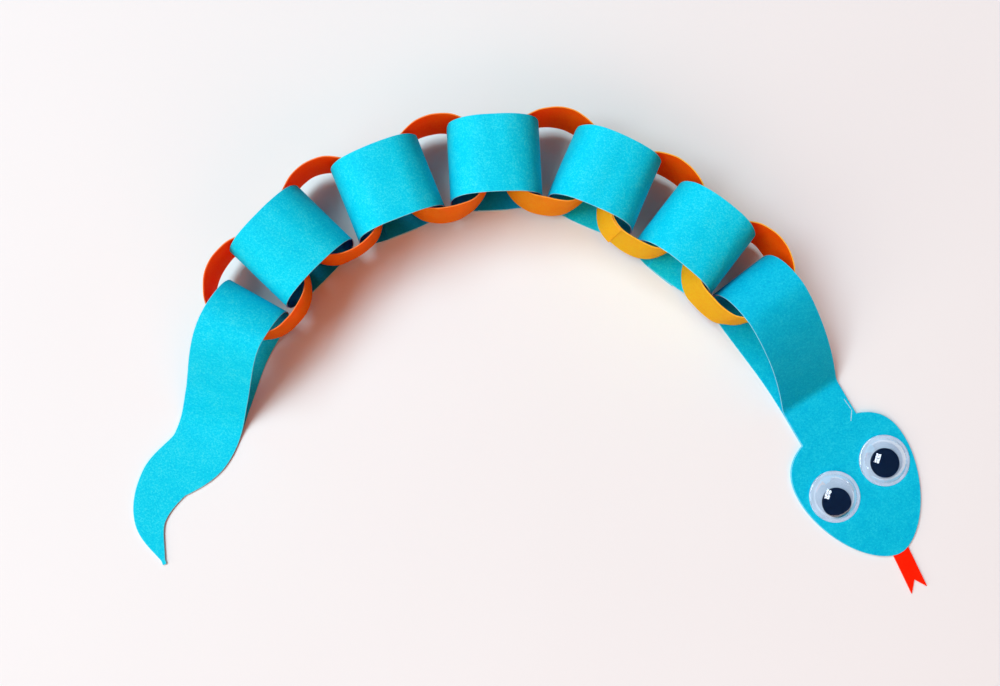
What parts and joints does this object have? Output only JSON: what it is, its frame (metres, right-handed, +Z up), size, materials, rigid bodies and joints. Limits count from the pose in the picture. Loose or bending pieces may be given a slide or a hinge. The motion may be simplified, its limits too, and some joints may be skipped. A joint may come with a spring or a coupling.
{
  "type": "paper ring snake",
  "caption": "Snake made of paper strips: loops and upright rings linked like a chain, a wavy tail strip, and an egg-shaped head with a forked tongue and two eyes with loose pupils.",
  "frame": {"origin": "middle of the underside of the snake's box, on the table", "axes": "+X from the tail's side to the head's side, +Y from the head's end of the box to the top of the arch, +Z up from the table"},
  "size_m": [0.2276, 0.136, 0.028],
  "materials": {
    "blue_paper": "matte coloured paper, bright cyan blue",
    "orange_paper": "matte coloured paper, orange",
    "tongue_paper": "matte coloured paper, red orange",
    "eye_white": "smooth white plastic",
    "eye_clear": "clear glossy plastic",
    "pupil_black": "glossy black plastic"
  },
  "bodies": {
    "tail": {"tail_strip": "blue_paper"},
    "orange_1": {"orange_ring_1": "orange_paper"},
    "blue_1": {"blue_ring_1": "blue_paper"},
    "orange_2": {"orange_ring_2": "orange_paper"},
    "blue_2": {"blue_ring_2": "blue_paper"},
    "orange_3": {"orange_ring_3": "orange_paper"},
    "blue_3": {"blue_ring_3": "blue_paper"},
    "orange_4": {"orange_ring_4": "orange_paper"},
    "blue_4": {"blue_ring_4": "blue_paper"},
    "orange_5": {"orange_ring_5": "orange_paper"},
    "blue_5": {"blue_ring_5": "blue_paper"},
    "orange_6": {"orange_ring_6": "orange_paper"},
    "head": {"head_strip": "blue_paper", "tongue": "tongue_paper", "eye_backing_left": "eye_white", "eye_backing_right": "eye_white", "eye_dome_left": "eye_clear", "eye_dome_right": "eye_clear"},
    "pupil_left": {"pupil_left": "pupil_black"},
    "pupil_right": {"pupil_right": "pupil_black"}
  },
  "joints": [
    {"name": "orange_1_turn", "type": "hinge", "parent": "tail", "child": "orange_1", "pos_m": [-0.07796, 0.01882, 0.0142], "axis": [0, 0, 1], "continuous": true},
    {"name": "blue_1_bend", "type": "hinge", "parent": "tail", "child": "blue_1", "pos_m": [-0.07796, 0.01882, 0.0142], "axis": [0, 0, 1], "range_deg": [-5, 35]},
    {"name": "orange_2_turn", "type": "hinge", "parent": "blue_1", "child": "orange_2", "pos_m": [-0.05824, 0.03994, 0.0142], "axis": [0, 0, 1], "continuous": true},
    {"name": "blue_2_bend", "type": "hinge", "parent": "blue_1", "child": "blue_2", "pos_m": [-0.05824, 0.03994, 0.0142], "axis": [0, 0, 1], "range_deg": [-6, 50]},
    {"name": "orange_3_turn", "type": "hinge", "parent": "blue_2", "child": "orange_3", "pos_m": [-0.02849, 0.05235, 0.0142], "axis": [0, 0, 1], "continuous": true},
    {"name": "blue_3_bend", "type": "hinge", "parent": "blue_2", "child": "blue_3", "pos_m": [-0.02849, 0.05235, 0.0142], "axis": [0, 0, 1], "range_deg": [-9, 44]},
    {"name": "orange_4_turn", "type": "hinge", "parent": "blue_3", "child": "orange_4", "pos_m": [0.00253, 0.05462, 0.0142], "axis": [0, 0, 1], "continuous": true},
    {"name": "blue_4_bend", "type": "hinge", "parent": "blue_3", "child": "blue_4", "pos_m": [0.00253, 0.05462, 0.0142], "axis": [0, 0, 1], "range_deg": [-5, 53]},
    {"name": "orange_5_turn", "type": "hinge", "parent": "blue_4", "child": "orange_5", "pos_m": [0.0304, 0.04261, 0.0142], "axis": [0, 0, 1], "continuous": true},
    {"name": "blue_5_bend", "type": "hinge", "parent": "blue_4", "child": "blue_5", "pos_m": [0.0304, 0.04261, 0.0142], "axis": [0, 0, 1], "range_deg": [-12, 38]},
    {"name": "orange_6_turn", "type": "hinge", "parent": "blue_5", "child": "orange_6", "pos_m": [0.05461, 0.02364, 0.0142], "axis": [0, 0, 1], "continuous": true},
    {"name": "head_bend", "type": "hinge", "parent": "blue_5", "child": "head", "pos_m": [0.05461, 0.02364, 0.0142], "axis": [0, 0, 1], "range_deg": [-5, 29]},
    {"name": "pupil_left_turn", "type": "hinge", "parent": "head", "child": "pupil_left", "pos_m": [0.10155, -0.02927, 0.0018], "axis": [0, 0, 1], "continuous": true},
    {"name": "pupil_right_turn", "type": "hinge", "parent": "head", "child": "pupil_right", "pos_m": [0.08637, -0.03966, 0.0018], "axis": [0, 0, 1], "continuous": true}
  ]
}
